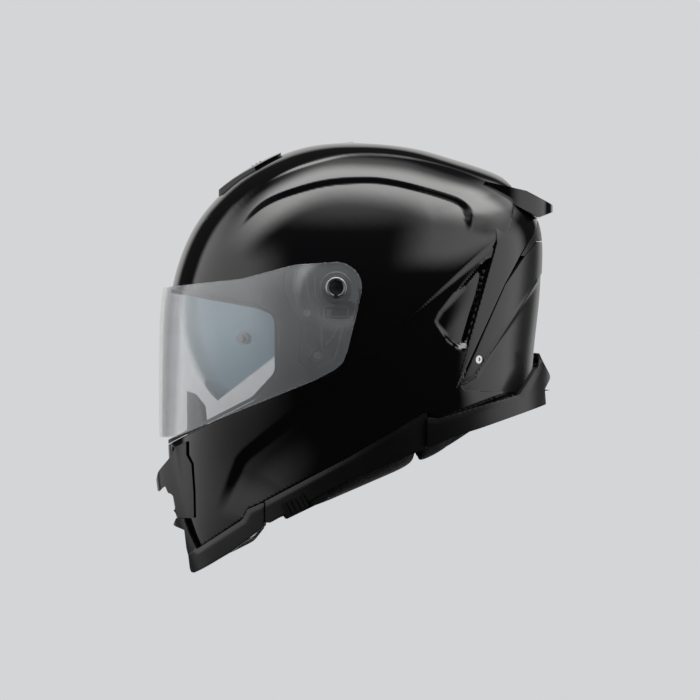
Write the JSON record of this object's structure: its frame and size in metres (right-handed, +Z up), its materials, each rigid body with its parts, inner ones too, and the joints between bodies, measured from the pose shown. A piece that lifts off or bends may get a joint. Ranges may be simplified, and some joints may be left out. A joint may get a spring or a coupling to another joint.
{
  "type": "motorcycle helmet",
  "caption": "Full-face motorcycle helmet with tip-up clear shield, drop-down sun visor, sliding vents, rear spoiler and D-ring chin strap.",
  "frame": {"origin": "centre of the bounding box, on the surface that the helmet stands on", "axes": "+Z up, +X towards the wearer's left, -Y towards the front; the helmet stands on its rim"},
  "size_m": [0.2544, 0.3622, 0.2564],
  "materials": {
    "shell_paint": "gloss black lacquer on a moulded composite shell",
    "gloss_trim": "gloss black",
    "satin_trim": "satin dark grey",
    "mechanism": "smoke grey",
    "clear_lens": "clear polycarbonate with hard coat",
    "tinted_lens": "smoke tinted polycarbonate",
    "seal": "black rubber",
    "foam": "expanded foam",
    "lining": "brushed knit lining",
    "mesh_cloth": "mesh cloth",
    "webbing": "woven webbing",
    "steel": "stainless"
  },
  "bodies": {
    "helmet": {"outer_shell": "shell_paint", "impact_liner": "foam", "chin_impact_liner": "foam", "crown_pad": "lining", "cheek_pad_left": "lining", "cheek_pad_right": "lining", "neck_roll": "lining", "eye_port_gasket": "seal", "base_plate_left": "mechanism", "base_plate_right": "mechanism", "shield_pivot_left": "steel", "shield_pivot_right": "steel", "base_plate_screws": "steel", "sun_visor_pivots": "mechanism", "slider_track": "satin_trim", "top_vent_housing": "gloss_trim", "crown_vent_lid": "gloss_trim", "chin_vent_housing": "satin_trim", "chin_vent_grille": "satin_trim", "chin_spoiler": "satin_trim", "breath_guard": "seal", "chin_curtain": "mesh_cloth", "rear_spoiler": "gloss_trim", "exhaust_vent": "satin_trim", "rear_blade_left": "gloss_trim", "rear_blade_right": "gloss_trim", "rear_panel": "gloss_trim", "rear_panel_screws": "steel", "rear_collar": "satin_trim", "side_trim_left": "satin_trim", "side_trim_right": "satin_trim", "chin_strap_left": "webbing", "chin_strap_right": "webbing", "strap_anchors": "steel", "strap_snap": "satin_trim"},
    "shield_body": {"shield": "clear_lens", "insert_pins": "satin_trim"},
    "sun_visor_body": {"sun_visor": "tinted_lens"},
    "slider_body": {"sun_visor_slider": "satin_trim"},
    "top_shutter_body": {"top_vent_shutter": "satin_trim"},
    "chin_shutter_body": {"chin_vent_shutter": "satin_trim"},
    "lever_left_body": {"release_lever_left": "mechanism"},
    "lever_right_body": {"release_lever_right": "mechanism"},
    "d_ring_body": {"d_rings": "steel"}
  },
  "joints": [
    {"name": "shield_tip", "type": "hinge", "parent": "helmet", "child": "shield_body", "pos_m": [0, 0.00764, 0.14534], "axis": [-1, 0, 0], "range_deg": [0, 52]},
    {"name": "sun_visor_drop", "type": "hinge", "parent": "helmet", "child": "sun_visor_body", "pos_m": [0, -0.00743, 0.13704], "axis": [-1, 0, 0], "range_deg": [0, 48]},
    {"name": "sun_visor_slide", "type": "slide", "parent": "helmet", "child": "slider_body", "axis": [0.3131, 0.9497, 0.0084], "range_m": [0, 0.012]},
    {"name": "top_vent_slide", "type": "slide", "parent": "helmet", "child": "top_shutter_body", "axis": [0, -0.9975, -0.0714], "range_m": [0, 0.009]},
    {"name": "chin_vent_slide", "type": "slide", "parent": "helmet", "child": "chin_shutter_body", "axis": [0, 0.3305, 0.9438], "range_m": [0, 0.013]},
    {"name": "lever_left_pull", "type": "slide", "parent": "helmet", "child": "lever_left_body", "axis": [-0.1128, -0.4295, -0.896], "range_m": [0, 0.003]},
    {"name": "lever_right_pull", "type": "slide", "parent": "helmet", "child": "lever_right_body", "axis": [0.1128, -0.4295, -0.896], "range_m": [0, 0.003]},
    {"name": "d_ring_swing", "type": "hinge", "parent": "helmet", "child": "d_ring_body", "pos_m": [0.054, -0.01756, 0.03425], "axis": [0, 1, 0], "range_deg": [0, 45]}
  ],
  "couplings": [
    {"joint": "sun_visor_slide", "follows": "sun_visor_drop", "m_per_rad": 0.01431}
  ]
}
